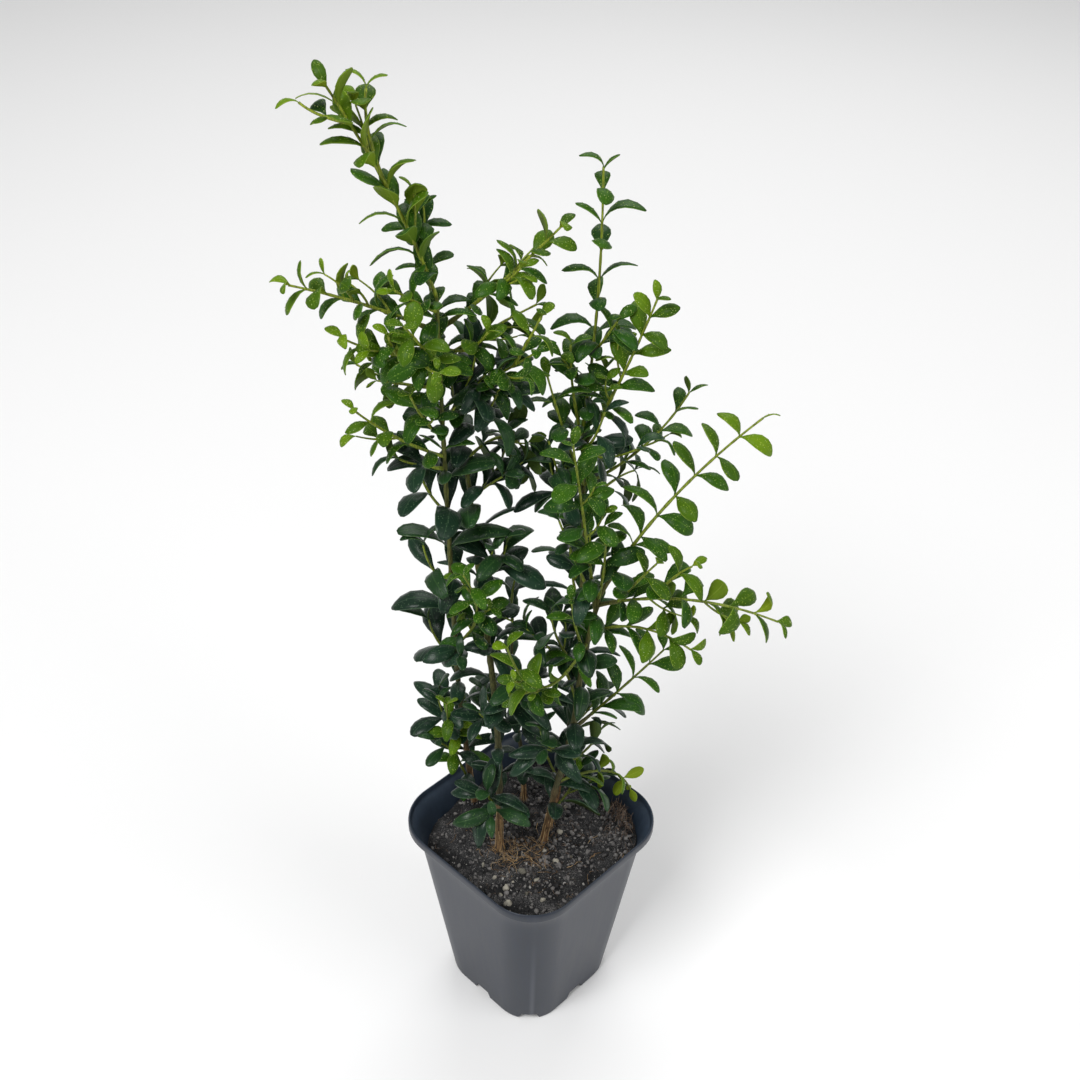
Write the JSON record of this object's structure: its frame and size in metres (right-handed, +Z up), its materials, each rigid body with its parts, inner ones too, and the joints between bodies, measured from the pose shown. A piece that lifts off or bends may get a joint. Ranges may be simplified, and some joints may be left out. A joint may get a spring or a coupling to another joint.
{
  "type": "potted boxwood shrub",
  "caption": "Young boxwood shrub with slim upright stems and small glossy oval leaves, growing in a square tapered nursery pot of dark plastic filled with soil.",
  "frame": {"origin": "centre of the pot's flat underside, on the surface it stands on", "axes": "+Z up along the plant, +X to the viewer's right, -Y towards the viewer; the square pot stands corner first, so its corners lie on the X and Y axes"},
  "size_m": [0.1824, 0.1094, 0.4371],
  "materials": {
    "pot": "thin moulded polypropylene, slate grey and satin outside, blue-black and smooth inside",
    "soil": "dark, coarse, peaty potting soil with pale grit, perlite and fine tan rootlets",
    "bark": "fine ridged bark, orange-brown at the foot, olive and yellow-green higher up",
    "foliage": "waxy oval leaves, very dark green and glossy low down and bright yellow-green at the tips, with small water drops"
  },
  "bodies": {
    "root": {"pot": "pot", "soil": "soil", "stem_front": "bark", "stem_left": "bark", "stem_rear": "bark", "stem_right": "bark", "stem_short": "bark", "bough_crown_right": "bark", "bough_front_high": "bark", "bough_left_high": "bark", "bough_rear_high": "bark", "bough_right_level": "bark", "bough_right_lower": "bark", "bough_right_rising": "bark", "crown_front": "foliage", "crown_left": "foliage", "crown_rear": "foliage", "crown_right": "foliage", "crown_short": "foliage", "front_arch": "foliage", "front_back": "foliage", "front_high": "foliage", "front_reach": "foliage", "left_foot": "foliage", "left_forward": "foliage", "left_high": "foliage", "left_low": "foliage", "left_middle": "foliage", "left_rising": "foliage", "left_upper": "foliage", "left_viewer": "foliage", "rear_back": "foliage", "rear_high": "foliage", "rear_reach": "foliage", "right_foot": "foliage", "right_forward": "foliage", "right_inner": "foliage", "right_level": "foliage", "right_lower": "foliage", "right_rising": "foliage", "right_thin": "foliage", "right_viewer": "foliage", "sprig_1": "foliage", "sprig_10": "foliage", "sprig_11": "foliage", "sprig_12": "foliage", "sprig_13": "foliage", "sprig_14": "foliage", "sprig_15": "foliage", "sprig_16": "foliage", "sprig_17": "foliage", "sprig_2": "foliage", "sprig_3": "foliage", "sprig_4": "foliage", "sprig_5": "foliage", "sprig_6": "foliage", "sprig_7": "foliage", "sprig_8": "foliage", "sprig_9": "foliage"}
  },
  "joints": []
}
